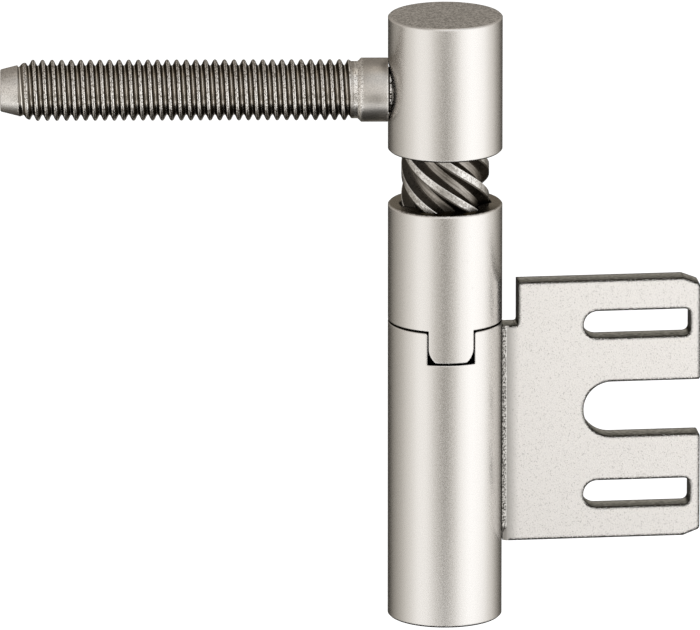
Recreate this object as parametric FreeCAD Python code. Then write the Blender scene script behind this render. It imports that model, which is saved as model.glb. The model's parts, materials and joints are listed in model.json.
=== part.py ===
"""Rising drill-in hinge for a rebated door, modelled as its separate turned, punched and threaded pieces.

Frame: Z is the hinge axis, pointing up. The origin is the centre of the frame knuckle's bottom face, and the
plate that is fastened to the frame runs along +X. All sizes are in millimetres and angles in degrees.

The door knuckle climbs a steep left-hand thread as the door opens, and the door's weight winds it down again.
It is drawn with the door opened by OPENED_BY, so the stud is turned back that far from its closed place.
"""

import FreeCAD
import Part

import math
import os

from FreeCAD import Vector

# How far the door stands open in the drawn position
CLOSED_STUD_ANGLE = 270.0
OPENED_BY = 96.0
CLOSED_GAP = 0.8

# Knuckles, from the bottom up
KNUCKLE_WALL = 1.5
EDGE_BREAK = 0.2
FRAME_KNUCKLE_HEIGHT = 40.0
FRAME_FLOOR = 3.0
SLEEVE_HEIGHT = 15.8
DOOR_KNUCKLE_HEIGHT = 18.0
DOOR_CAP = 5.0

# Key that stops the nut sleeve from turning on the frame knuckle
TAB_WIDTH = 5.9
TAB_DROP = 4.1
TAB_CORNER_INSET = 0.93
TAB_CORNER_HEIGHT = 1.9
TAB_SIDE_CLEARANCE = 0.2
TAB_END_CLEARANCE = 0.3
NOTCH_MOUTH_RADIUS = 0.5

# Steep thread that lifts the door
THREAD_STARTS = 6
THREAD_LEAD = 24.0
THREAD_LENGTH = 20.0
THREAD_CREST_DIA = 11.5
THREAD_DEPTH = 1.2
CREST_SHARE = 0.32
FLANK_SHARE = 0.19
THREAD_PHASE = 13.5
THREAD_RADIAL_CLEARANCE = 0.3
THREAD_FLANK_CLEARANCE = 0.15
NUT_RIB_LENGTH = 10.0
NUT_RELIEF = 0.1

# Spindle above and below its thread
HEAD_SHOULDER = 0.75
HEAD_END_CLEARANCE = 0.2
SHANK_RELIEF = 0.1
SHANK_LENGTH = 9.0
JOURNAL_STEP = 0.45
JOURNAL_END = 2.6
JOURNAL_FOOT_GAP = 3.1
SPINDLE_CHAMFER = 0.6
PRESS_GAP = 0.01

# Guide bush that slides in the frame knuckle, and the ring that keeps it on the journal
BUSH_CHAMFER = 0.4
BORE_RELIEF = 0.25
RUNNING_CLEARANCE = 0.05
END_PLAY = 0.05
RING_THICKNESS = 0.8
RING_HEIGHT = 1.2
RING_OPENING = 2.6
GROOVE_DEPTH = 0.3

# Drill-in stud, with its reach measured from the hinge axis
STUD_HEIGHT = 8.0
STUD_REACH = 58.1
STUD_THREAD_DIA = 8.0
STUD_LEAD_IN_DEPTH = 0.7
STUD_LEAD_IN = 2.0
STUD_TIP_TAPER = 0.55
STUD_TIP_LENGTH = 2.2
STUD_NECK_DEPTH = 0.25
STUD_NECK_LENGTH = 0.7
COLLAR_RISE = 0.2
COLLAR_LENGTH = 3.5
COLLAR_END_CHAMFER = 0.15
SPIGOT_SHOULDER = 1.2
SPIGOT_PAST_AXIS = 2.5
SPIGOT_END_CLEARANCE = 0.2
SINK_WIDTH = 1.05
SINK_ANGLE = 115.0

# Plate that is fastened to the frame, with its reach measured from the hinge axis
PLATE_THICKNESS = 3.0
PLATE_REACH = 33.55
PLATE_HEIGHT = 35.0
PLATE_BELOW_JOINT = 0.8
PLATE_STEP_HEIGHT = 5.8
PLATE_STEP_WIDTH = 2.0
PLATE_STEP_RADIUS = 0.35
PLATE_CORNER_LENGTH = 2.2
PLATE_CORNER_DROP = 0.85
PLATE_CORNER_RADIUS = 0.5
SLOT_LENGTH = 14.1
SLOT_HEIGHT = 3.66
SLOT_CORNER_RADIUS = 0.8
SLOT_END_MARGIN = 1.3
SLOT_INSET = 6.0
MOUTH_DEPTH = 15.4
MOUTH_HEIGHT = 7.4
MOUTH_CORNER_RADIUS = 0.3
WELD_LEG = 0.55
WELD_BEVEL = 0.35
WELD_RISE = 0.5
WELD_HOLLOW = 0.06
WELD_STOP = 1.0

# Length by which a cutting tool stands out past the face that it cuts
OVERCUT = 1.0

# Radii that follow from the sizes above
CREST_R = THREAD_CREST_DIA / 2
ROOT_R = CREST_R - THREAD_DEPTH
HEAD_R = CREST_R - HEAD_SHOULDER
SHANK_R = ROOT_R - SHANK_RELIEF
JOURNAL_R = SHANK_R - JOURNAL_STEP
GROOVE_R = JOURNAL_R - GROOVE_DEPTH
BORE_R = CREST_R + BORE_RELIEF
KNUCKLE_R = BORE_R + KNUCKLE_WALL
NUT_MAJOR_R = CREST_R + THREAD_RADIAL_CLEARANCE
NUT_MINOR_R = ROOT_R + THREAD_RADIAL_CLEARANCE
NUT_RELIEF_R = NUT_MAJOR_R + NUT_RELIEF
STUD_R = STUD_THREAD_DIA / 2
COLLAR_R = STUD_R + COLLAR_RISE
SPIGOT_R = COLLAR_R - SPIGOT_SHOULDER
SPIGOT_HOLE_R = SPIGOT_R + PRESS_GAP

# Angles and levels that follow from the sizes above
STUD_ANGLE = CLOSED_STUD_ANGLE - OPENED_BY
CLOSING_DROP = THREAD_LEAD * OPENED_BY / 360.0
SECTOR = 360.0 / THREAD_STARTS
CREST_ANGLE = CREST_SHARE * SECTOR
FLANK_ANGLE = FLANK_SHARE * SECTOR
SLEEVE_BOTTOM = FRAME_KNUCKLE_HEIGHT
SLEEVE_TOP = SLEEVE_BOTTOM + SLEEVE_HEIGHT
DOOR_BOTTOM = SLEEVE_TOP + CLOSED_GAP + CLOSING_DROP
DOOR_TOP = DOOR_BOTTOM + DOOR_KNUCKLE_HEIGHT
DOOR_BORE_TOP = DOOR_TOP - DOOR_CAP
STUD_Z = DOOR_BOTTOM + STUD_HEIGHT
THREAD_BOTTOM = DOOR_BOTTOM - THREAD_LENGTH
BUSH_SEAT = THREAD_BOTTOM - SHANK_LENGTH
BUSH_TOP = BUSH_SEAT - END_PLAY
JOURNAL_BOTTOM = FRAME_FLOOR + JOURNAL_FOOT_GAP + CLOSING_DROP
RING_BOTTOM = JOURNAL_BOTTOM + JOURNAL_END
RING_TOP = RING_BOTTOM + RING_THICKNESS
BUSH_BOTTOM = RING_TOP + END_PLAY
PLATE_SHOULDER = FRAME_KNUCKLE_HEIGHT - PLATE_BELOW_JOINT
PLATE_TOP = PLATE_SHOULDER + PLATE_STEP_HEIGHT
PLATE_BOTTOM = PLATE_TOP - PLATE_HEIGHT
PLATE_MIDDLE = PLATE_BOTTOM + PLATE_HEIGHT / 2
PLATE_FACE = PLATE_THICKNESS / 2


def turned(outline):
    """Return the solid turned about Z from a closed outline of (radius, height) pairs."""
    points = [Vector(r, 0, z) for r, z in outline]
    face = Part.Face(Part.makePolygon(points + points[:1]))
    return face.revolve(Vector(0, 0, 0), Vector(0, 0, 1), 360)


def turned_towards_stud(outline):
    """Return the solid turned about the stud's axis from (distance from the hinge axis, radius) pairs."""
    points = [Vector(x, 0, r) for x, r in outline]
    face = Part.Face(Part.makePolygon(points + points[:1]))
    solid = face.revolve(Vector(0, 0, 0), Vector(1, 0, 0), 360)
    solid.rotate(Vector(0, 0, 0), Vector(0, 0, 1), STUD_ANGLE)
    solid.translate(Vector(0, 0, STUD_Z))
    return solid


def line(start, end):
    """Return a straight edge between two (x, z) points of the XZ plane."""
    return Part.LineSegment(Vector(start[0], 0, start[1]), Vector(end[0], 0, end[1])).toShape()


def arc(start, end, centre, radius, middle_angle):
    """Return an arc of the XZ plane from start to end that passes the given angle about its centre."""
    turn = math.radians(middle_angle)
    middle = Vector(centre[0] + radius * math.cos(turn), 0, centre[1] + radius * math.sin(turn))
    return Part.Arc(Vector(start[0], 0, start[1]), middle, Vector(end[0], 0, end[1])).toShape()


def outline_through(points):
    """Return the straight edges of the closed outline through (x, z) points."""
    return [line(start, end) for start, end in zip(points, points[1:] + points[:1])]


def punched(edges, y_from, y_to):
    """Return the solid between two depths whose outline in the XZ plane is the given loop of edges."""
    face = Part.Face(Part.Wire(Part.__sortEdges__(edges)))
    face.translate(Vector(0, y_from, 0))
    return face.extrude(Vector(0, y_to - y_from, 0))


def rounded(solid, radius, corners):
    """Round the edges of a punched solid that run along Y through the given (x, z) corners."""
    chosen = []
    for edge in solid.Edges:
        box = edge.BoundBox
        runs_along_y = box.YLength > max(box.XLength, box.ZLength)
        middle = edge.CenterOfMass
        if runs_along_y and any(math.hypot(middle.x - x, middle.z - z) < radius / 2 for x, z in corners):
            chosen.append(edge)
    return solid.makeFillet(radius, chosen)


def thread_section(root_r, crest_r, crest_angle):
    """Return the closed wire of the many-start thread's cross-section at height zero."""

    def at(radius, angle):
        turn = math.radians(angle)
        return Vector(radius * math.cos(turn), radius * math.sin(turn), 0)

    edges = []
    foot = crest_angle / 2 + FLANK_ANGLE
    for start in range(THREAD_STARTS):
        middle = THREAD_PHASE + start * SECTOR
        rise_foot = at(root_r, middle - foot)
        rise_top = at(crest_r, middle - crest_angle / 2)
        fall_top = at(crest_r, middle + crest_angle / 2)
        fall_foot = at(root_r, middle + foot)
        next_foot = at(root_r, middle + SECTOR - foot)
        edges.append(Part.LineSegment(rise_foot, rise_top).toShape())
        edges.append(Part.Arc(rise_top, at(crest_r, middle), fall_top).toShape())
        edges.append(Part.LineSegment(fall_top, fall_foot).toShape())
        edges.append(Part.Arc(fall_foot, at(root_r, middle + SECTOR / 2), next_foot).toShape())
    return Part.Wire(edges)


def steep_thread(section, bottom, top):
    """Sweep the section into a left-hand thread that stands at THREAD_PHASE under the door knuckle."""
    height = top - bottom
    spine = Part.Wire(Part.makeLine(Vector(0, 0, 0), Vector(0, 0, height)))
    guide = Part.makeHelix(THREAD_LEAD, height, CREST_R, 0, True)
    sweep = Part.BRepOffsetAPI.MakePipeShell(spine)
    sweep.setAuxiliarySpine(guide, True, 0)
    sweep.add(section)
    sweep.build()
    sweep.makeSolid()
    thread = sweep.shape()
    thread.rotate(Vector(0, 0, 0), Vector(0, 0, 1), 360.0 * (DOOR_BOTTOM - bottom) / THREAD_LEAD)
    thread.translate(Vector(0, 0, bottom))
    return thread


def spigot_hole():
    """Return the cutter for the hole that takes the stud's spigot, past the hinge axis."""
    inner_end = -SPIGOT_PAST_AXIS - SPIGOT_END_CLEARANCE
    outer_end = KNUCKLE_R + OVERCUT
    return turned_towards_stud([
        (inner_end, 0),
        (inner_end, SPIGOT_HOLE_R),
        (outer_end, SPIGOT_HOLE_R),
        (outer_end, 0),
    ])


def key_outline():
    """Return the edges of the key tab: straight sides that curve in to a flat end."""
    half = TAB_WIDTH / 2
    root = SLEEVE_BOTTOM + 2 * EDGE_BREAK
    end = SLEEVE_BOTTOM - TAB_DROP
    bend = end + TAB_CORNER_HEIGHT
    half_end = half - TAB_CORNER_INSET
    radius = (TAB_CORNER_INSET**2 + TAB_CORNER_HEIGHT**2) / (2 * TAB_CORNER_INSET)
    middle_angle = math.degrees(math.atan2(TAB_CORNER_HEIGHT, radius - TAB_CORNER_INSET)) / 2
    return [
        line((-half, root), (-half, bend)),
        arc((-half, bend), (-half_end, end), (radius - half, bend), radius, 180 + middle_angle),
        line((-half_end, end), (half_end, end)),
        arc((half_end, end), (half, bend), (half - radius, bend), radius, -middle_angle),
        line((half, bend), (half, root)),
        line((half, root), (-half, root)),
    ]


def notch_outline():
    """Return the edges of the notch that takes the key tab, with rounded corners at its mouth."""
    half = TAB_WIDTH / 2 + TAB_SIDE_CLEARANCE
    radius = NOTCH_MOUTH_RADIUS
    outer = half + radius
    mouth = FRAME_KNUCKLE_HEIGHT
    bend = mouth - radius
    floor = mouth - TAB_DROP - TAB_END_CLEARANCE
    above = mouth + OVERCUT
    return [
        line((-outer, above), (-outer, mouth)),
        arc((-outer, mouth), (-half, bend), (-outer, bend), radius, 45),
        line((-half, bend), (-half, floor)),
        line((-half, floor), (half, floor)),
        line((half, floor), (half, bend)),
        arc((half, bend), (outer, mouth), (outer, bend), radius, 135),
        line((outer, mouth), (outer, above)),
        line((outer, above), (-outer, above)),
    ]


def frame_knuckle():
    """Return the lower knuckle: a turned barrel with a blind bore and the notch for the key tab."""
    barrel = turned([
        (0, 0),
        (KNUCKLE_R - EDGE_BREAK, 0),
        (KNUCKLE_R, EDGE_BREAK),
        (KNUCKLE_R, FRAME_KNUCKLE_HEIGHT - EDGE_BREAK),
        (KNUCKLE_R - EDGE_BREAK, FRAME_KNUCKLE_HEIGHT),
        (BORE_R + EDGE_BREAK, FRAME_KNUCKLE_HEIGHT),
        (BORE_R, FRAME_KNUCKLE_HEIGHT - EDGE_BREAK),
        (BORE_R, FRAME_FLOOR),
        (0, FRAME_FLOOR),
    ])
    return barrel.cut(punched(notch_outline(), -KNUCKLE_R - OVERCUT, 0))


def nut_sleeve():
    """Return the middle sleeve: the nut of the steep thread, with the key tab at its foot."""
    barrel = turned([
        (0, SLEEVE_BOTTOM),
        (KNUCKLE_R - EDGE_BREAK, SLEEVE_BOTTOM),
        (KNUCKLE_R, SLEEVE_BOTTOM + EDGE_BREAK),
        (KNUCKLE_R, SLEEVE_TOP - EDGE_BREAK),
        (KNUCKLE_R - EDGE_BREAK, SLEEVE_TOP),
        (0, SLEEVE_TOP),
    ])
    foot = SLEEVE_BOTTOM - TAB_DROP - OVERCUT
    rib_bottom = SLEEVE_TOP - NUT_RIB_LENGTH
    tab_stock = Part.makeCylinder(KNUCKLE_R, SLEEVE_TOP - foot, Vector(0, 0, foot))
    tab = tab_stock.common(punched(key_outline(), -KNUCKLE_R - OVERCUT, 0))
    relief = Part.makeCylinder(NUT_RELIEF_R, rib_bottom - foot, Vector(0, 0, foot))
    groove_angle = CREST_ANGLE + 2 * math.degrees(THREAD_FLANK_CLEARANCE / CREST_R)
    grooves = steep_thread(
        thread_section(NUT_MINOR_R, NUT_MAJOR_R, groove_angle),
        rib_bottom - OVERCUT,
        SLEEVE_TOP + OVERCUT,
    )
    return barrel.fuse(tab).cut(relief).cut(grooves).removeSplitter()


def guide_bush():
    """Return the plain bush that guides the journal in the frame knuckle's bore."""
    outer = BORE_R - RUNNING_CLEARANCE
    inner = JOURNAL_R + RUNNING_CLEARANCE
    return turned([
        (inner, BUSH_BOTTOM),
        (outer - BUSH_CHAMFER, BUSH_BOTTOM),
        (outer, BUSH_BOTTOM + BUSH_CHAMFER),
        (outer, BUSH_TOP - BUSH_CHAMFER),
        (outer - BUSH_CHAMFER, BUSH_TOP),
        (inner, BUSH_TOP),
    ])


def retaining_ring():
    """Return the open spring ring that sits in the journal's groove under the bush."""
    inner = GROOVE_R + PRESS_GAP
    outer = inner + RING_HEIGHT
    ring = turned([
        (inner, RING_BOTTOM),
        (outer, RING_BOTTOM),
        (outer, RING_TOP),
        (inner, RING_TOP),
    ])
    corner = Vector(0, -RING_OPENING / 2, RING_BOTTOM)
    return ring.cut(Part.makeBox(outer + OVERCUT, RING_OPENING, RING_THICKNESS, corner))


def rising_spindle():
    """Return the spindle: head in the door knuckle, steep thread, shank, and grooved journal for the bush."""
    head_top = DOOR_BORE_TOP - HEAD_END_CLEARANCE
    head_r = HEAD_R - PRESS_GAP
    head = turned([
        (0, DOOR_BOTTOM),
        (head_r, DOOR_BOTTOM),
        (head_r, head_top - SPINDLE_CHAMFER),
        (head_r - SPINDLE_CHAMFER, head_top),
        (0, head_top),
    ])
    thread = steep_thread(thread_section(ROOT_R, CREST_R, CREST_ANGLE), THREAD_BOTTOM, DOOR_BOTTOM)
    groove_top = RING_TOP + END_PLAY
    groove_bottom = RING_BOTTOM - END_PLAY
    lower = turned([
        (0, JOURNAL_BOTTOM),
        (JOURNAL_R - SPINDLE_CHAMFER, JOURNAL_BOTTOM),
        (JOURNAL_R, JOURNAL_BOTTOM + SPINDLE_CHAMFER),
        (JOURNAL_R, groove_bottom),
        (GROOVE_R, groove_bottom),
        (GROOVE_R, groove_top),
        (JOURNAL_R, groove_top),
        (JOURNAL_R, BUSH_SEAT),
        (SHANK_R, BUSH_SEAT),
        (SHANK_R, THREAD_BOTTOM),
        (0, THREAD_BOTTOM),
    ])
    return lower.fuse([thread, head.cut(spigot_hole())])


def door_knuckle():
    """Return the upper knuckle: a turned cap with a blind bore and a countersunk cross hole for the stud."""
    cap = turned([
        (HEAD_R, DOOR_BOTTOM),
        (KNUCKLE_R - EDGE_BREAK, DOOR_BOTTOM),
        (KNUCKLE_R, DOOR_BOTTOM + EDGE_BREAK),
        (KNUCKLE_R, DOOR_TOP - EDGE_BREAK),
        (KNUCKLE_R - EDGE_BREAK, DOOR_TOP),
        (0, DOOR_TOP),
        (0, DOOR_BORE_TOP),
        (HEAD_R, DOOR_BORE_TOP),
    ])
    widening = math.tan(math.radians(SINK_ANGLE / 2))
    sink_tip = KNUCKLE_R - (SPIGOT_HOLE_R + SINK_WIDTH) / widening
    sink_end = KNUCKLE_R + OVERCUT
    sink = turned_towards_stud([
        (sink_tip, 0),
        (sink_end, (sink_end - sink_tip) * widening),
        (sink_end, 0),
    ])
    return cap.cut(spigot_hole()).cut(sink)


def drill_in_stud():
    """Return the stud that is screwed into the door's edge, drawn at its thread's outside diameter."""
    collar_end = KNUCKLE_R + COLLAR_LENGTH
    neck_r = STUD_R - STUD_NECK_DEPTH
    neck_start = collar_end + COLLAR_R - neck_r
    neck_end = neck_start + STUD_NECK_LENGTH
    tip_start = STUD_REACH - STUD_TIP_LENGTH
    tip_r = STUD_R - STUD_LEAD_IN_DEPTH
    return turned_towards_stud([
        (-SPIGOT_PAST_AXIS, 0),
        (-SPIGOT_PAST_AXIS, SPIGOT_R),
        (KNUCKLE_R, SPIGOT_R),
        (KNUCKLE_R, COLLAR_R - COLLAR_END_CHAMFER),
        (KNUCKLE_R + COLLAR_END_CHAMFER, COLLAR_R),
        (collar_end, COLLAR_R),
        (neck_start, neck_r),
        (neck_end, neck_r),
        (neck_end + STUD_NECK_DEPTH, STUD_R),
        (tip_start - STUD_LEAD_IN, STUD_R),
        (tip_start, tip_r),
        (STUD_REACH, tip_r - STUD_TIP_TAPER),
        (STUD_REACH, 0),
    ])


def bevel_cutter():
    """Return the cutter for the bevel that makes room for the weld along the plate's edge at the knuckle."""
    foot = PLATE_BOTTOM - OVERCUT
    corners = [
        Vector(KNUCKLE_R - WELD_LEG, PLATE_FACE - 2 * WELD_BEVEL, foot),
        Vector(KNUCKLE_R + 2 * WELD_LEG, PLATE_FACE + WELD_BEVEL, foot),
        Vector(KNUCKLE_R - WELD_LEG, PLATE_FACE + WELD_BEVEL, foot),
    ]
    section = Part.Face(Part.makePolygon(corners + corners[:1]))
    return section.extrude(Vector(0, 0, PLATE_HEIGHT + 2 * OVERCUT))


def plate_blank():
    """Return the plate before its slots: a rectangle with a step at the knuckle and cut outer corners."""
    step = KNUCKLE_R + PLATE_STEP_WIDTH
    cut = PLATE_REACH - PLATE_CORNER_LENGTH
    low_corner = (PLATE_REACH, PLATE_BOTTOM + PLATE_CORNER_DROP)
    high_corner = (PLATE_REACH, PLATE_TOP - PLATE_CORNER_DROP)
    outline = outline_through([
        (KNUCKLE_R, PLATE_BOTTOM),
        (cut, PLATE_BOTTOM),
        low_corner,
        high_corner,
        (cut, PLATE_TOP),
        (step, PLATE_TOP),
        (step, PLATE_SHOULDER),
        (KNUCKLE_R, PLATE_SHOULDER),
    ])
    blank = punched(outline, -PLATE_FACE, PLATE_FACE)
    blank = rounded(blank, PLATE_STEP_RADIUS, [(step, PLATE_SHOULDER)])
    blank = rounded(blank, PLATE_CORNER_RADIUS, [low_corner, high_corner])
    bevel = bevel_cutter()
    return blank.cut([bevel, bevel.mirror(Vector(0, 0, 0), Vector(0, 1, 0))])


def slot_cutter(start, end, middle, height):
    """Return the cutter for a slot along X, with a full round at its start and a square end."""
    half = height / 2
    bend = start + half
    low = middle - half
    high = middle + half
    outline = [
        arc((bend, high), (bend, low), (bend, middle), half, 180),
        line((bend, low), (end, low)),
        line((end, low), (end, high)),
        line((end, high), (bend, high)),
    ]
    return punched(outline, -PLATE_FACE - OVERCUT, PLATE_FACE + OVERCUT)


def frame_plate():
    """Return the punched plate with its two closed slots and the open mouth between them."""
    plate = plate_blank()
    slot_end = PLATE_REACH - SLOT_END_MARGIN
    half_slot = SLOT_HEIGHT / 2
    for middle in (PLATE_BOTTOM + SLOT_INSET, PLATE_TOP - SLOT_INSET):
        slot = slot_cutter(slot_end - SLOT_LENGTH, slot_end, middle, SLOT_HEIGHT)
        corners = [(slot_end, middle - half_slot), (slot_end, middle + half_slot)]
        plate = plate.cut(rounded(slot, SLOT_CORNER_RADIUS, corners))
    mouth_start = PLATE_REACH - MOUTH_DEPTH
    plate = plate.cut(slot_cutter(mouth_start, PLATE_REACH + OVERCUT, PLATE_MIDDLE, MOUTH_HEIGHT))
    half_mouth = MOUTH_HEIGHT / 2
    lips = [(PLATE_REACH, PLATE_MIDDLE - half_mouth), (PLATE_REACH, PLATE_MIDDLE + half_mouth)]
    return rounded(plate, MOUTH_CORNER_RADIUS, lips)


def weld_seam():
    """Return the two weld beads that fill the plate's bevels and climb a little way up the frame knuckle."""
    seat_r = KNUCKLE_R + PRESS_GAP
    start = PLATE_BOTTOM + WELD_STOP

    def on_knuckle(y):
        return Vector(math.sqrt(seat_r**2 - y**2), y, start)

    inner_edge = on_knuckle(PLATE_FACE - WELD_BEVEL)
    upper_edge = on_knuckle(PLATE_FACE + WELD_RISE)
    toe = Vector(KNUCKLE_R + WELD_LEG - 2 * PRESS_GAP, PLATE_FACE, start)
    chord = toe.sub(upper_edge)
    inward = Vector(chord.y, -chord.x, 0).normalize()
    hollow = upper_edge.add(chord * 0.5).add(inward * WELD_HOLLOW)
    section = Part.Wire([
        Part.Arc(inner_edge, on_knuckle(PLATE_FACE), upper_edge).toShape(),
        Part.Arc(upper_edge, hollow, toe).toShape(),
        Part.LineSegment(toe, inner_edge).toShape(),
    ])
    bead = Part.Face(section).extrude(Vector(0, 0, PLATE_SHOULDER - start))
    return Part.makeCompound([bead, bead.mirror(Vector(0, 0, 0), Vector(0, 1, 0))])


PIECES = {
    "frame_knuckle": frame_knuckle,
    "frame_plate": frame_plate,
    "weld_seam": weld_seam,
    "nut_sleeve": nut_sleeve,
    "guide_bush": guide_bush,
    "retaining_ring": retaining_ring,
    "rising_spindle": rising_spindle,
    "door_knuckle": door_knuckle,
    "drill_in_stud": drill_in_stud,
}


def main():
    """Build every piece and write each to a STEP file of its own name."""
    os.makedirs("parts", exist_ok=True)
    for name, build in PIECES.items():
        shape = build()
        shape.exportStep(os.path.join("parts", name + ".step"))
        print(f"{name}: {len(shape.Solids)} solid(s), {shape.Volume:.1f} mm3")


main()
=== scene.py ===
"""Looks of a rising drill-in hinge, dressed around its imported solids.

The frame is the part's own: Z up along the hinge axis, +X along the frame plate, -Y the face with the
key tab. Sizes in the classes are in millimetres, and meshes are written in metres. Turned and punched
pieces keep their solids and get a finish. The stud is rebuilt with its rolled thread and the weld with
its rough bead, each in the place of its solid.
"""

import json
import logging
import math
from collections.abc import Mapping, Sequence
from dataclasses import dataclass
from enum import Enum

import bmesh
import bpy
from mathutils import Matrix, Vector, noise

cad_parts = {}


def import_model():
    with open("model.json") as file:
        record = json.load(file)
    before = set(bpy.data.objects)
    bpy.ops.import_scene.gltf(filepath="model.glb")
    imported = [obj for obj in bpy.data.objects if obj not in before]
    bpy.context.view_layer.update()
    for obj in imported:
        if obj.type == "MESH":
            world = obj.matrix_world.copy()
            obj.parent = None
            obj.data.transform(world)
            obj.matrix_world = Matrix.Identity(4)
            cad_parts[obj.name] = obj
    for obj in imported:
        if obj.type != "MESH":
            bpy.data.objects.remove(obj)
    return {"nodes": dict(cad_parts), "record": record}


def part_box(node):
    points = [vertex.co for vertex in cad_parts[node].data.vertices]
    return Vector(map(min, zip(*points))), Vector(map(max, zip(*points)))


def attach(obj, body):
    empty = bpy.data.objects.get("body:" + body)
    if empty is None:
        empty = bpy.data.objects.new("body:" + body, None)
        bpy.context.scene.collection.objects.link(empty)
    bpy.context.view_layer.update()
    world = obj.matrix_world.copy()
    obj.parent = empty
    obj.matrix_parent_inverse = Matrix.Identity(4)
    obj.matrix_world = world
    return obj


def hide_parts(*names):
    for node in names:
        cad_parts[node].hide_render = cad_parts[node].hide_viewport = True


LOG = logging.getLogger("hinge")
MM = 0.001
IMAGE_WIDTH_PX = 700
SENSOR_WIDTH = 36.0
WHITE = (1.0, 1.0, 1.0, 1.0)
UP = Vector((0.0, 0.0, 1.0))

Triple = tuple[float, float, float]
Rgb = Triple
Span = tuple[float, float]
Pairs = tuple[Span, ...]
Piece = bpy.types.Object
Socket = bpy.types.NodeSocket
Feed = float | Sequence[float] | Socket


def smooth_step(start: float, end: float, value: float) -> float:
    """Return how far value is from start to end, from 0 to 1 with soft ends."""
    share = min(1.0, max(0.0, (value - start) / (end - start)))
    return share * share * (3.0 - 2.0 * share)


def between(first: float, second: float, share: float) -> float:
    """Return the value that lies the given share of the way from first to second."""
    return first + (second - first) * share


def rough_noise(place: Vector, finer: float) -> float:
    """Return a noise about 0, with another of half its height on a scale that is finer by a factor."""
    return noise.noise(place) + 0.5 * noise.noise(place * finer)


def shade(colour: Rgb, factor: float) -> Rgb:
    """Return a lighter or darker version of a colour."""
    return (colour[0] * factor, colour[1] * factor, colour[2] * factor)


def opaque(colour: Rgb | Socket) -> Feed:
    """Return a colour with an alpha of 1, or a node's output as it is."""
    return colour if isinstance(colour, Socket) else (*colour, 1.0)


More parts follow.
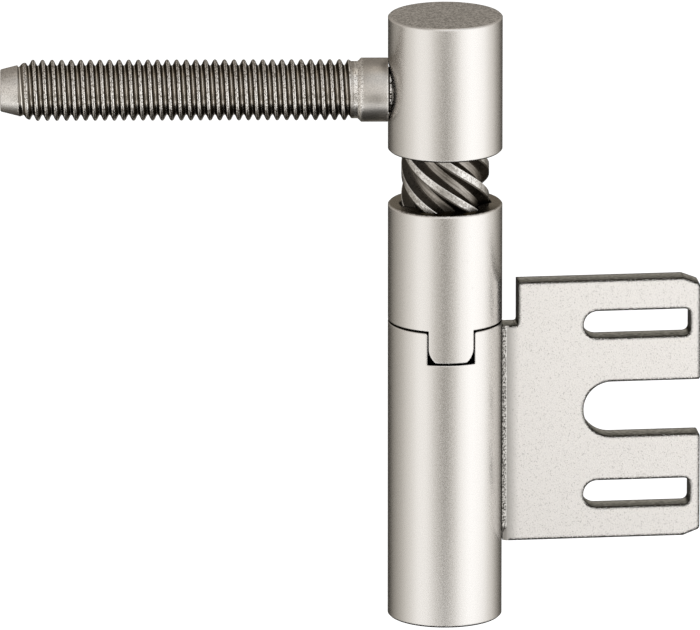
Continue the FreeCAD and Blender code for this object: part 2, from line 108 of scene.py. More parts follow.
class ShaderTree:
    """Short ways to add shader nodes to one tree and to wire them, with lengths in millimetres."""

    rim_bend: Span = (0.03, 0.05)

    def __init__(self, tree: bpy.types.NodeTree) -> None:
        """Take over a node tree and empty it."""
        self.tree = tree
        tree.nodes.clear()

    def feed(self, socket: Socket, source: Feed) -> None:
        """Set a socket to a constant, or link it to another node's output."""
        if isinstance(source, Socket):
            self.tree.links.new(source, socket)
        else:
            socket.default_value = source

    def node(
        self, kind: str, inputs: Mapping[str | int, Feed] | None = None, **options: object
    ) -> bpy.types.Node:
        """Add a node.

        Args:
            kind: Blender's name of the node's type.
            inputs: a constant or an output for each input that isn't left as it comes, by name or number.
            **options: the node's own settings.

        Returns:
            The new node.
        """
        node = self.tree.nodes.new(kind)
        for option, value in options.items():
            setattr(node, option, value)
        for key, source in (inputs or {}).items():
            self.feed(node.inputs[key], source)
        return node

    def math(self, operation: str, first: Feed, second: Feed = 0.0) -> Socket:
        """Return the result of one arithmetic step on two numbers."""
        return self.node("ShaderNodeMath", {0: first, 1: second}, operation=operation).outputs[0]

    def product(self, first: Feed, *others: Feed) -> Feed:
        """Return the product of numbers."""
        for other in others:
            first = self.math("MULTIPLY", first, other)
        return first

    def vector(self, operation: str, first: Feed, second: Feed = (0.0, 0.0, 0.0)) -> Socket:
        """Return the result of one step of vector arithmetic, which is a number for some operations."""
        node = self.node("ShaderNodeVectorMath", {0: first, 1: second}, operation=operation)
        return node.outputs["Value" if operation in ("LENGTH", "DOT_PRODUCT") else "Vector"]

    def place(self) -> Socket:
        """Return the point on the surface, in the object's own frame."""
        metres = self.node("ShaderNodeTexCoord").outputs["Object"]
        return self.vector("DIVIDE", metres, (MM, MM, MM))

    def facing(self) -> Socket:
        """Return the direction that the surface faces, in the object's own frame."""
        return self.node("ShaderNodeTexCoord").outputs["Normal"]

    def axis(self, vector: Socket, name: str) -> Socket:
        """Return one of a vector's X, Y and Z numbers."""
        return self.node("ShaderNodeSeparateXYZ", {"Vector": vector}).outputs[name]

    def off_axis(self, place: Socket) -> Socket:
        """Return a point's distance from the hinge axis."""
        return self.vector("LENGTH", self.vector("MULTIPLY", place, (1.0, 1.0, 0.0)))

    def noise(self, place: Feed, per_mm: float, detail: float) -> Socket:
        """Return a noise between 0 and 1 that has so many cells to a millimetre."""
        inputs = {"Vector": place, "Scale": per_mm, "Detail": detail}
        return self.node("ShaderNodeTexNoise", inputs).outputs[0]

    def span(self, value: Feed, start: float, end: float, low: Feed = 0.0, high: Feed = 1.0) -> Socket:
        """Return a number that goes softly from low to high while value goes from start to end."""
        inputs = {"Value": value, "From Min": start, "From Max": end, "To Min": low, "To Max": high}
        return self.node("ShaderNodeMapRange", inputs, interpolation_type="SMOOTHSTEP").outputs[0]

    def stretch(self, grain: Feed, low: Feed = 0.0, high: Feed = 1.0, half: float = 0.2) -> Socket:
        """Return a noise stretched so that its middle, of the given half width, goes from low to high."""
        return self.span(grain, 0.5 - half, 0.5 + half, low, high)

    def band(self, value: Feed, start: float, end: float, fade: float) -> Feed:
        """Return 1 between start and end and 0 outside them."""
        begun = self.span(value, start - fade, start)
        left = self.span(value, end, end + fade, 1.0, 0.0)
        return self.product(begun, left)

    def mix(self, factor: Feed, first: Feed, second: Feed) -> Socket:
        """Return a colour between two colours, by the numbers of the mix node's colour sockets."""
        inputs = {0: factor, 6: opaque(first), 7: opaque(second)}
        return self.node("ShaderNodeMix", inputs, data_type="RGBA").outputs[2]

    def ramp(self, factor: Feed, stops: Sequence[tuple[float, Rgb]]) -> Socket:
        """Return a colour that runs smoothly through stops, which are positions from 0 to 1 and colours."""
        node = self.node("ShaderNodeValToRGB", {"Fac": factor})
        node.color_ramp.interpolation = "EASE"
        elements = node.color_ramp.elements
        for index, (position, colour) in enumerate(stops):
            element = elements[index] if index < 2 else elements.new(position)
            element.position = position
            element.color = opaque(colour)
        return node.outputs[0]

    def broken(self, radius: float) -> Socket:
        """Return the normal of a surface whose edges look broken at a radius."""
        return self.node("ShaderNodeBevel", {"Radius": radius * MM}, samples=8).outputs[0]

    def rim(self, radius: float, width: Feed = 1.0) -> Socket:
        """Return 1 along an edge and 0 away from it, by the radius of a broken edge."""
        true_normal = self.node("ShaderNodeNewGeometry").outputs["Normal"]
        bend = self.math("SUBTRACT", 1.0, self.vector("DOT_PRODUCT", self.broken(radius), true_normal))
        return self.span(self.product(bend, width), *self.rim_bend)


def new_material(name: str) -> tuple[bpy.types.Material, ShaderTree]:
    """Return a new material with its emptied tree."""
    material = bpy.data.materials.new(name)
    material.use_nodes = True
    return material, ShaderTree(material.node_tree)


@dataclass(frozen=True)
class Finish:
    """A surface finish, named after the record's material slot.

    Roughness and shades are pairs, for the low and the high end of what drives them. A noise is a pair of
    its cells to a millimetre and its detail. A start or an end is a pair too, between which something comes
    or goes. Grazing is what a metal throws back at a grazing angle, and None for what is no metal.
    """

    slot: str
    colour: Rgb
    roughness: Span
    grazing: Rgb | None = (0.3, 0.29, 0.27)
    depth: float = 0.004
    edge: float = 0.08

    def material(self) -> bpy.types.Material:
        """Return a new Blender material with this finish."""
        material, tree = new_material(self.slot)
        self.paint(tree)
        return material

    def paint(self, tree: ShaderTree) -> None:
        """Wire the finish into an empty tree."""
        raise NotImplementedError

    def mottled(self, tree: ShaderTree, share: Feed, shades: Span) -> Socket:
        """Return the finish's colour, which goes from one shade to the other as share goes from 0 to 1."""
        return tree.mix(share, shade(self.colour, shades[0]), shade(self.colour, shades[1]))

    def close(self, tree: ShaderTree, colour: Feed, gloss: Feed, height: Feed) -> None:
        """End a tree in the finish's shader, with its fine relief and broken edges."""
        inputs = {"Height": height, "Distance": self.depth * MM, "Normal": tree.broken(self.edge)}
        normal = tree.node("ShaderNodeBump", inputs).outputs[0]
        inputs = {"Base Color": colour, "Roughness": gloss, "Normal": normal}
        if self.grazing:
            inputs |= {"Metallic": 1.0, "Specular Tint": opaque(self.grazing)}
        shader = tree.node("ShaderNodeBsdfPrincipled", inputs)
        tree.node("ShaderNodeOutputMaterial", {"Surface": shader.outputs[0]})


@dataclass(frozen=True)
class SatinNickel(Finish):
    """Nickel plate on turned steel, blasted to an even satin grain, with painted shade in the joint and on
    downward lips.
    """

    slot: str = "satin_nickel"
    colour: Rgb = (0.77, 0.75, 0.728)
    roughness: Span = (0.24, 0.33)
    depth: float = 0.006
    edge: float = 0.25
    shades: Span = (0.98, 1.02)
    end_shades: Span = (0.66, 1.27)
    # painted shade for the joint between barrels and for the lips that look down
    painted_shade_colour: Rgb = (0.03, 0.027, 0.022)
    grain: Span = (5.5, 3.0)
    end_grain: Span = (3.4, 3.0)
    end_contrast: float = 0.18
    end_depth: float = 8.0
    end_slope: Span = (0.9, 0.99)
    skin_r: Span = (7.41, 7.49)
    joint: Span = (35.3, 40.3)
    joint_fade: float = 0.1
    lip_start: Span = (-0.97, -0.88)
    lip_end: Span = (-0.5, -0.3)
    lip_painted_shade: float = 0.75

    def painted_shade(self, tree: ShaderTree, place: Socket) -> Socket:
        """Return 1 where shade is painted: under the barrels' skin in the joint, and on lips that look
        down.
        """
        sunk = tree.span(tree.off_axis(place), *self.skin_r, 1.0, 0.0)
        joint = tree.band(tree.axis(place, "Z"), *self.joint, self.joint_fade)
        slope = tree.axis(tree.facing(), "Z")
        lip_painted_shade = tree.span(slope, *self.lip_end, self.lip_painted_shade, 0.0)
        lip = tree.product(tree.span(slope, *self.lip_start), lip_painted_shade)
        return tree.math("MAXIMUM", tree.product(sunk, joint), lip)

    def cover(self, tree: ShaderTree, place: Socket, plate: Feed) -> Feed:
        """Return the plate's colour with what lies on it, which is nothing here."""
        return plate

    def paint(self, tree: ShaderTree) -> None:
        """Wire a fine grain, coarser on the faced ends, and the painted shade."""
        place = tree.place()
        grain = tree.noise(place, *self.grain)
        pits = tree.noise(place, *self.end_grain)
        on_end = tree.span(tree.math("ABSOLUTE", tree.axis(tree.facing(), "Z")), *self.end_slope)
        skin = self.mottled(tree, tree.stretch(grain), self.shades)
        end_skin = self.mottled(tree, tree.stretch(pits, half=self.end_contrast), self.end_shades)
        plate = self.cover(tree, place, tree.mix(on_end, skin, end_skin))
        # painted shade darkens the joint and the downward lips
        colour = tree.mix(self.painted_shade(tree, place), plate, self.painted_shade_colour)
        height = tree.math("ADD", grain, tree.product(pits, on_end, self.end_depth))
        self.close(tree, colour, tree.stretch(grain, *self.roughness), height)


@dataclass(frozen=True)
class GreasedShadedNickel(SatinNickel):
    """Satin nickel with dark grease and painted shade over the mouth and in the bore of the nut, darkest at
    the front.
    """

    # grease colours: the front one is darker as painted shade
    front_shaded_grease_colour: Rgb = (0.055, 0.048, 0.039)
    back_grease_colour: Rgb = (0.34, 0.312, 0.272)
    front_shade_fade: Span = (-6.6, -1.5)
    darkening_end: Span = (7.25, 7.46)
    darkening_cover: float = 0.96
    drift: Span = (1.6, 3.0)
    ragged: float = 0.3

    def cover(self, tree: ShaderTree, place: Socket, plate: Feed) -> Feed:
        """Return the plate's colour with grease and painted shade on it, which end raggedly under the
        barrel's skin.
        """
        drift = tree.math("SUBTRACT", tree.noise(place, *self.drift), 0.5)
        radius = tree.math("ADD", tree.off_axis(place), tree.product(drift, self.ragged))
        covered = tree.span(radius, *self.darkening_end, self.darkening_cover, 0.0)
        # painted shade: the grease is darker at the front and lighter towards the back
        front_shade_fade = tree.span(tree.axis(place, "Y"), *self.front_shade_fade)
        return tree.mix(covered, plate, tree.mix(front_shade_fade, self.front_shaded_grease_colour, self.back_grease_colour))


@dataclass(frozen=True)
class PunchedSheet(Finish):
    """Tumbled nickel plate on a punched sheet: pale speckled faces, dark torn edges and painted shade along
    the rim.

    Its roughness is that of the edges and of the faces.
    """

    slot: str = "plated_sheet"
    colour: Rgb = (0.99, 0.971, 0.949)
    roughness: Span = (0.42, 0.7)
    depth: float = 0.036
    edge: float = 0.12
    shades: Span = (0.94, 1.01)
    pit_colour: Rgb = (0.5, 0.485, 0.46)
    rim_shade_colour: Rgb = (0.05, 0.047, 0.04)
    barrel_reflection_colour: Rgb = (0.56, 0.545, 0.52)
    torn_colour: Rgb = (0.24, 0.24, 0.223)
    sheared_colour: Rgb = (0.66, 0.654, 0.615)
    shaded_side_colour: Rgb = (0.06, 0.058, 0.053)
    face: float = 1.5
    face_slope: Span = (0.5, 0.85)
    side_slope: Span = (-0.9, -0.5)
    barrel_reflection_end: Span = (7.9, 9.8)
    barrel_reflection_cover: float = 0.88
    weld_end: Span = (8.15, 8.35)
    grain: Span = (6.0, 2.0)
    grain_contrast: float = 0.18
    pits: Span = (6.4, 3.0)
    pit_grain: Span = (0.58, 0.68)
    pit_cover: float = 0.55
    streaks: Span = (3.6, 4.0)
    streak_scale: Triple = (0.45, 1.0, 1.0)
    streak_reach: float = 0.55
    rim_radius: float = 0.72
    rim_widths: Span = (3.2, 0.3)
    rim_contrast: float = 0.14

    def paint_face(self, tree: ShaderTree, place: Socket, grain: Socket) -> Socket:
        """Return the colour of the faces, speckled, with a painted reflection of the barrel's dark side
        beside the weld.
        """
        peel = self.mottled(tree, tree.stretch(grain, half=self.grain_contrast), self.shades)
        pits = tree.span(tree.noise(place, *self.pits), *self.pit_grain, 0.0, self.pit_cover)
        # painted reflection: the face darkens towards the barrel
        barrel_reflection = tree.span(tree.axis(place, "X"), *self.barrel_reflection_end, self.barrel_reflection_cover, 0.0)
        return tree.mix(barrel_reflection, tree.mix(pits, peel, self.pit_colour), self.barrel_reflection_colour)

    def paint_edge(self, tree: ShaderTree, place: Socket, facing: Socket) -> Socket:
        """Return the colour of the edges: torn, sheared bright at the back, and painted shade on walls
        facing -X, as in a slot's end.
        """
        streaks = tree.noise(tree.vector("MULTIPLY", place, self.streak_scale), *self.streaks)
        reach = tree.stretch(streaks, -self.streak_reach, self.streak_reach)
        through = tree.span(tree.axis(place, "Y"), -self.face, self.face)
        level = tree.mix(tree.math("ADD", through, reach), self.torn_colour, self.sheared_colour)
        # painted shade on the walls that face -X
        shaded_side = tree.span(tree.axis(facing, "X"), *self.side_slope, 1.0, 0.0)
        return tree.mix(shaded_side, level, self.shaded_side_colour)

    def paint(self, tree: ShaderTree) -> None:
        """Wire the faces and the edges, told apart by the way that they face, and painted shade on the rim
        between them.
        """
        place = tree.place()
        facing = tree.facing()
        grain = tree.noise(place, *self.grain)
        on_face = tree.span(tree.math("ABSOLUTE", tree.axis(facing, "Y")), *self.face_slope)
        face = self.paint_face(tree, place, grain)
        clean = tree.mix(on_face, self.paint_edge(tree, place, facing), face)
        # painted shade: a ragged dark line along the face's edges, short of the weld
        rim = tree.rim(self.rim_radius, tree.stretch(grain, *self.rim_widths, half=self.rim_contrast))
        past_weld = tree.span(tree.axis(place, "X"), *self.weld_end)
        colour = tree.mix(tree.product(rim, past_weld), clean, self.rim_shade_colour)
        self.close(tree, colour, tree.span(on_face, 0.0, 1.0, *self.roughness), grain)


@dataclass(frozen=True)
class PlatedWeld(Finish):
    """Rough weld bead under the plating, spattered light and dark, with a line of painted shade along the
    knuckle.
    """

    slot: str = "plated_weld"
    colour: Rgb = (0.6, 0.582, 0.552)
    roughness: Span = (0.55, 0.3)
    depth: float = 0.04
    edge: float = 0.04
    scale_colour: Rgb = (0.08, 0.076, 0.069)
    toe_colour: Rgb = (0.66, 0.645, 0.62)
    knuckle_shade_colour: Rgb = (0.035, 0.032, 0.028)
    spatter: Span = (4.4, 4.0)
    spatter_contrast: float = 0.1
    knuckle_shade_end: Span = (7.3, 7.44)
    toe_start: Span = (7.87, 7.94)
    toe_cover: float = 0.85

    def paint(self, tree: ShaderTree) -> None:
        """Wire a coarse spatter into colour and relief, a clean toe, and the painted shade line."""
        place = tree.place()
        across = tree.axis(place, "X")
        spatter = tree.noise(place, *self.spatter)
        bead = tree.mix(tree.stretch(spatter, half=self.spatter_contrast), self.scale_colour, self.colour)
        toe = tree.span(across, *self.toe_start, 0.0, self.toe_cover)
        # painted shade where the bead meets the knuckle
        knuckle_shade = tree.span(across, *self.knuckle_shade_end, 1.0, 0.0)
        colour = tree.mix(knuckle_shade, tree.mix(toe, bead, self.toe_colour), self.knuckle_shade_colour)
        self.close(tree, colour, tree.stretch(spatter, *self.roughness), spatter)


@dataclass(frozen=True)
class RolledSteel(Finish):
    """Dull warm steel of a rolled thread: painted highlights on split crests and root lines, painted shade
    on flanks.

    Its roughness is that of the crests and of what lies below. The mesh carries three numbers at each
    point, under the given names: the distance from the crest in pitches, the share in the thread, which is
    -1 on the spigot, and the place along the stud.
    """

    slot: str = "rolled_thread_steel"
    colour: Rgb = (0.565, 0.54, 0.507)
    roughness: Span = (0.26, 0.2)
    depth: float = 0.012
    edge: float = 0.03
    body_roughness: float = 0.34
    shades: Span = (0.84, 1.12)
    # painted shade on the flanks; painted highlights in the roots and on the crests
    flank_shade_colour: Rgb = (0.22, 0.198, 0.17)
    root_colour: Rgb = (0.95, 0.91, 0.85)
    crest_colour: Rgb = (0.97, 0.945, 0.91)
    worn_colour: Rgb = (0.3, 0.276, 0.246)
    seam_shade_colour: Rgb = (0.045, 0.04, 0.033)
    # pale as painted light on the spigot in the recess
    spigot_painted_light_colour: Rgb = (0.95, 0.925, 0.89)
    grain: Span = (7.0, 4.0)
    flakes: Span = (4.0, 5.0)
    specks: Span = (7.0, 3.0)
    names: tuple[str, str, str] = ("from_crest", "thread_share", "along_stud")
    spigot_end: Span = (-0.9, -0.3)
    thread_start: Span = (0.1, 0.6)
    crest_flakes: Span = (0.43, 0.49)
    split_flakes: Span = (0.5, 0.535)
    split_end: Span = (0.03, 0.06)
    gloss_end: Span = (0.1, 0.18)
    crest_end: Span = (0.11, 0.18)
    root_start: Span = (0.41, 0.465)
    joint_start: Span = (6.86, 6.94)
    burr: Span = (7.06, 7.22)
    burr_fade: float = 0.03
    burr_flakes: Span = (0.45, 0.5)
    rim_end: Span = (7.6, 7.75)
    rim_wear_highlight: float = 0.7
    shoulder_start: Span = (10.6, 10.9)
    shoulder_end: Span = (11.9, 12.0)
    scale_end: Span = (54.5, 55.0)
    scale_cover: float = 0.45
    tip_start: Span = (55.0, 55.5)
    tip_wear_highlight: float = 0.4
    bright_specks: Span = (0.34, 0.6)
    dark_specks: Span = (0.4, 0.52)

    def paint_body(self, tree: ShaderTree, along: Socket, body: Feed, specks: Feed) -> Socket:
        """Return the body's colour: bright wear and painted highlight on the collar's edges and the tip,
        and scale.
        """
        rim = tree.span(along, *self.rim_end, self.rim_wear_highlight, 0.0)
        past_collar = tree.span(along, *self.shoulder_start)
        shoulder = tree.math("SUBTRACT", past_collar, tree.span(along, *self.shoulder_end))
        edges = tree.math("ADD", rim, shoulder)
        worn = tree.math("ADD", edges, tree.span(along, *self.tip_start, 0.0, self.tip_wear_highlight))
        # bright specks of wear that also serve as painted highlights
        bright = tree.product(worn, tree.span(specks, *self.bright_specks))
        scaled = tree.math("SUBTRACT", past_collar, tree.span(along, *self.scale_end))
        dark = tree.product(scaled, tree.span(specks, *self.dark_specks, self.scale_cover, 0.0))
        return tree.mix(dark, tree.mix(bright, body, self.crest_colour), self.flank_shade_colour)

    def paint_spigot(self, tree: ShaderTree, along: Socket, flakes: Feed) -> Socket:
        """Return the spigot's colour: pale as painted light, with painted shade in the joint and a torn
        bright burr beside the collar.
        """
        burr = tree.band(along, *self.burr, self.burr_fade)
        torn = tree.product(burr, tree.span(flakes, *self.burr_flakes))
        joint = tree.mix(torn, self.seam_shade_colour, self.crest_colour)
        # painted light on the spigot's open part, painted shade in the joint beside the collar
        return tree.mix(tree.span(along, *self.joint_start), self.spigot_painted_light_colour, joint)

    def paint_thread(self, tree: ShaderTree, from_crest: Socket, flakes: Feed) -> Socket:
        """Return the thread's colour by the distance from the crest, which is half a pitch in the root."""
        # painted highlight on the crest, broken by darker flakes
        crest = tree.mix(tree.span(flakes, *self.crest_flakes), self.worn_colour, self.crest_colour)
        middle = tree.span(from_crest, *self.split_end, 1.0, 0.0)
        split = tree.product(middle, tree.span(flakes, *self.split_flakes))
        # painted shade in the crest's split
        crest = tree.mix(split, crest, self.seam_shade_colour)
        # painted shade on the flanks
        flank = tree.mix(tree.span(from_crest, *self.crest_end), crest, self.flank_shade_colour)
        # painted highlight: a bright line in each root
        return tree.mix(tree.span(from_crest, *self.root_start), flank, self.root_colour)

    def paint(self, tree: ShaderTree) -> None:
        """Wire the body, the spigot and the thread, told apart by the share in the thread."""
        place = tree.place()
        carried = [tree.node("ShaderNodeAttribute", attribute_name=name) for name in self.names]
        from_crest, share, along = (node.outputs["Fac"] for node in carried)
        grain = tree.noise(place, *self.grain)
        flakes = tree.noise(place, *self.flakes)
        specks = tree.noise(place, *self.specks)
        body = self.paint_body(tree, along, self.mottled(tree, tree.stretch(grain), self.shades), specks)
        spigot = self.paint_spigot(tree, along, flakes)
        plain = tree.mix(tree.span(share, *self.spigot_end, 1.0, 0.0), body, spigot)
        thread = self.paint_thread(tree, from_crest, flakes)
        colour = tree.mix(tree.span(share, *self.thread_start), plain, thread)
        thread_gloss = tree.span(from_crest, *self.gloss_end, *self.roughness)
        gloss = tree.span(share, *self.thread_start, self.body_roughness, thread_gloss)
        self.close(tree, colour, gloss, grain)


@dataclass(frozen=True)
class SpindleSteel(Finish):
    """Bare formed steel of the steep spindle: mottled crests, dark grooves, painted edge highlights and
    shade.
    """

    slot: str = "bare_spindle_steel"
    colour: Rgb = (0.4, 0.372, 0.338)
    roughness: Span = (0.44, 0.26)
    depth: float = 0.02
    edge: float = 0.12
    root_colour: Rgb = (0.2, 0.182, 0.16)
    # painted shade for the flanks and the crests' lower parts; painted highlights on the crests' edges
    flank_shade_colour: Rgb = (0.13, 0.118, 0.103)
    crest_colour: Rgb = (0.8, 0.782, 0.755)
    scuff_colour: Rgb = (0.42, 0.4, 0.372)
    edge_highlight_colour: Rgb = (0.86, 0.845, 0.82)
    mouth_darkening_colour: Rgb = (0.05, 0.044, 0.036)
    root_end: Span = (4.55, 4.9)
    crest_start: Span = (5.65, 5.7)
    darkening_end: Span = (55.9, 57.4)
    darkening_cover: float = 0.8
    lead: float = 24.0
    starts: int = 6
    phase: float = -1.5
    rubbed_start: Span = (-0.105, -0.085)
    streaks: Span = (2.6, 5.0)
    streak_scale: Triple = (1.0, 1.0, 0.2)
    streak_contrast: float = 0.16
    blotch: Span = (1.3, 3.0)
    mottle: Span = (4.5, 4.0)
    mottle_share: float = 0.55
    scuff_contrast: float = 0.1
    rim_radius: float = 0.3

    def lit_crest(self, tree: ShaderTree, section: Socket) -> Socket:
        """Return 1 on each crest's upper part, painted as highlight; the rest of the crest is painted
        shade.
        """
        turn = tree.math("ARCTAN2", tree.axis(section, "Y"), tree.axis(section, "X"))
        sectors = tree.product(turn, self.starts / math.tau)
        past_middle = tree.math("SUBTRACT", sectors, self.phase * self.starts / 360.0)
        from_middle = tree.math("SUBTRACT", past_middle, tree.math("ROUND", past_middle))
        return tree.span(from_middle, *self.rubbed_start)

    def paint(self, tree: ShaderTree) -> None:
        """Wire the crests by their distance from the axis, and streaks that follow the left-hand rise."""
        place = tree.place()
        radius = tree.off_axis(place)
        level = tree.axis(place, "Z")
        inputs = {"Vector": place, "Angle": tree.product(level, math.tau / self.lead)}
        section = tree.node("ShaderNodeVectorRotate", inputs, rotation_type="Z_AXIS").outputs[0]
        streaks = tree.noise(tree.vector("MULTIPLY", section, self.streak_scale), *self.streaks)
        root = tree.mix(tree.stretch(streaks, half=self.streak_contrast), self.root_colour, self.colour)
        # painted shade on the flanks
        body = tree.mix(tree.span(radius, *self.root_end), root, self.flank_shade_colour)
        # darker just above the nut's mouth
        near_mouth = tree.span(level, *self.darkening_end, self.darkening_cover, 0.0)
        groove = tree.mix(near_mouth, body, self.mouth_darkening_colour)
        mottle = tree.noise(place, *self.mottle)
        blotch = tree.product(tree.noise(place, *self.blotch), 1.0 - self.mottle_share)
        worn = tree.math("ADD", tree.product(mottle, self.mottle_share), blotch)
        crest = tree.mix(tree.stretch(worn, half=self.scuff_contrast), self.scuff_colour, self.crest_colour)
        # painted highlight along the crests' edges
        crest = tree.mix(tree.rim(self.rim_radius), crest, self.edge_highlight_colour)
        # painted highlight on each crest's upper part; the rest keeps the flanks' painted shade
        bright = tree.product(tree.span(radius, *self.crest_start), self.lit_crest(tree, section))
        colour = tree.mix(bright, groove, crest)
        self.close(tree, colour, tree.stretch(mottle, *self.roughness), streaks)


@dataclass(frozen=True)
class PlainFinish(Finish):
    """A finish with no more than a faint pattern in its colour and its gloss, as of oil or of moulding."""

    shades: Span = (0.94, 1.03)
    pattern: Span = (3.0, 2.0)

    def paint(self, tree: ShaderTree) -> None:
        """Wire the pattern."""
        pattern = tree.noise(tree.place(), *self.pattern)
        colour = self.mottled(tree, pattern, self.shades)
        self.close(tree, colour, tree.stretch(pattern, *self.roughness), pattern)


def dress(piece: Piece, finish: Finish) -> None:
    """Give a piece one finish all over."""
    material = finish.material()
    if not piece.material_slots:
        piece.data.materials.append(material)
    for slot in piece.material_slots:
        slot.material = material
    LOG.info("%s: %s", piece.name, finish.slot)


def new_piece(name: str, shape: bmesh.types.BMesh, sharp_from: float) -> Piece:
    """Turn a finished mesh into a piece of the hinge.

    Args:
        name: the piece's name.
        shape: its mesh, in metres, which is used up.
        sharp_from: the angle in degrees from which an edge stays sharp.

    Returns:
        The new object, at the origin.
    """
    bmesh.ops.recalc_face_normals(shape, faces=shape.faces)
    mesh = bpy.data.meshes.new(name)
    shape.to_mesh(mesh)
    shape.free()
    mesh.polygons.foreach_set("use_smooth", [True] * len(mesh.polygons))
    mesh.set_sharp_from_angle(angle=math.radians(sharp_from))
    piece = bpy.data.objects.new(name, mesh)
    bpy.context.scene.collection.objects.link(piece)
    return piece


def join_rings(shape: bmesh.types.BMesh, rings: Sequence[Sequence[bmesh.types.BMVert]], count: int) -> None:
    """Join each ring of a mesh's points to the next, where a ring has the given count or is one point."""
    for near, far in zip(rings, rings[1:]):
        for step in range(count):
            follower = (step + 1) % count
            corners = [near[step % len(near)], near[follower % len(near)]]
            corners += [far[follower % len(far)], far[step % len(far)]]
            shape.faces.new(list(dict.fromkeys(corners)))


def stand_in(piece: Piece, node: str, body: str) -> None:
    """Let a piece stand for a solid: it rides on the body and hides the node."""
    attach(piece, body)
    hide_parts(node)


@dataclass
class TurnedKnuckles:
    """The three barrels on the hinge axis, which keep their turned solids."""

    nodes: Mapping[str, Piece]
    finish: SatinNickel = SatinNickel()
    nut_finish: GreasedShadedNickel = GreasedShadedNickel()

    def dress(self) -> None:
        """Give the barrels the satin plate, with grease and more painted shade on the one that is the nut.
        """
        dress(self.nodes["frame_knuckle"], self.finish)
        dress(self.nodes["nut_sleeve"], self.nut_finish)
        dress(self.nodes["door_knuckle"], self.finish)


@dataclass
class LiftingGear:
    """The steep spindle with its guide bush and ring, which keep their solids."""

    nodes: Mapping[str, Piece]
    spindle: SpindleSteel = SpindleSteel()
    bush: Finish = PlainFinish("bush_plastic", (0.82, 0.8, 0.74), (0.39, 0.51), grazing=None)
    ring: Finish = PlainFinish(
        "spring_steel", (0.24, 0.24, 0.25), (0.25, 0.45), edge=0.06, shades=(0.75, 1.25), pattern=(6.0, 3.0)
    )

    def dress(self) -> None:
        """Give the spindle bare steel, the bush plastic and the ring spring steel."""
        dress(self.nodes["rising_spindle"], self.spindle)
        dress(self.nodes["guide_bush"], self.bush)
        dress(self.nodes["retaining_ring"], self.ring)


class Side(Enum):
    """A face of the frame plate, with the sign of its Y."""

    FRONT = -1
    BACK = 1


@dataclass
class FramePlate:
    """The punched plate, which keeps its solid, and the weld that joins it to the frame knuckle."""

    nodes: Mapping[str, Piece]
    face: float
    knuckle_r: float = 7.51
    bevel: float = 0.35
    rise: float = 0.5
    toe_x: float = 8.03
    hollow: float = 0.06
    lump: float = 0.07
    lump_length: float = 0.35
    lumps_across: float = 2.0
    lump_finer: float = 2.7
    lump_seed: float = 3.0
    end_size: float = 0.15
    end_taper: float = 0.9
    row_step: float = 0.1
    columns: int = 10
    sheet: PunchedSheet = PunchedSheet()
    weld: PlatedWeld = PlatedWeld()

    def on_knuckle(self, y: float) -> Vector:
        """Return the point of the knuckle's skin at a depth, on the plate's side."""
        return Vector((math.sqrt(self.knuckle_r**2 - y**2), y, 0.0))

    def bead_section(self, level: float, size: float, seed: float) -> list[Vector]:
        """Return the bead's outline at one level, in millimetres.

        Args:
            level: the height at which the bead is cut.
            size: the bead's size there, as a share of its full size.
            seed: what makes one bead's lumps differ from another's.

        Returns:
            Points from the knuckle over the bead's skin to its toe, and then its inner corner.
        """
        corner = self.on_knuckle(self.face - self.bevel)
        upper = self.on_knuckle(self.face + self.rise)
        toe = Vector((self.toe_x, self.face, 0.0))
        outward = Vector((upper.y - toe.y, toe.x - upper.x, 0.0)).normalized()
        outline = []
        for index in range(self.columns):
            share = index / (self.columns - 1)
            arch = 4.0 * share * (1.0 - share)
            place = Vector((share * self.lumps_across + seed, seed, level / self.lump_length))
            lump = self.lump * rough_noise(place, self.lump_finer)
            skin = upper.lerp(toe, share) + outward * (arch * (lump - self.hollow))
            outline.append(corner.lerp(skin, size))
        outline.append(corner)
        return [Vector((point.x, point.y, level)) for point in outline]

    def build_bead(self, shape: bmesh.types.BMesh, side: Side, bottom: float, top: float) -> None:
        """Add one weld bead to a mesh, as a closed skin between two levels."""
        rows = max(2, round((top - bottom) / self.row_step))
        rings = []
        for row in range(rows + 1):
            level = between(bottom, top, row / rows)
            size = between(self.end_size, 1.0, smooth_step(bottom, bottom + self.end_taper, level))
            outline = self.bead_section(level, size, seed=self.lump_seed * side.value)
            rings.append([shape.verts.new(Vector((p.x, p.y * side.value, p.z)) * MM) for p in outline])
        join_rings(shape, rings, len(rings[0]))
        shape.faces.new(rings[0])
        shape.faces.new(rings[-1])

    def build(self) -> Piece:
        """Build both weld beads as one piece in the weld's place."""
        low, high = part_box("weld_seam")
        shape = bmesh.new()
        for side in Side:
            self.build_bead(shape, side, low.z / MM, high.z / MM)
        beads = new_piece("weld_beads", shape, sharp_from=50.0)
        stand_in(beads, "weld_seam", "frame_part")
        return beads

    def dress(self, beads: Piece) -> None:
        """Give the plate its punched finish and the beads their rough one."""
        dress(self.nodes["frame_plate"], self.sheet)
        dress(beads, self.weld)


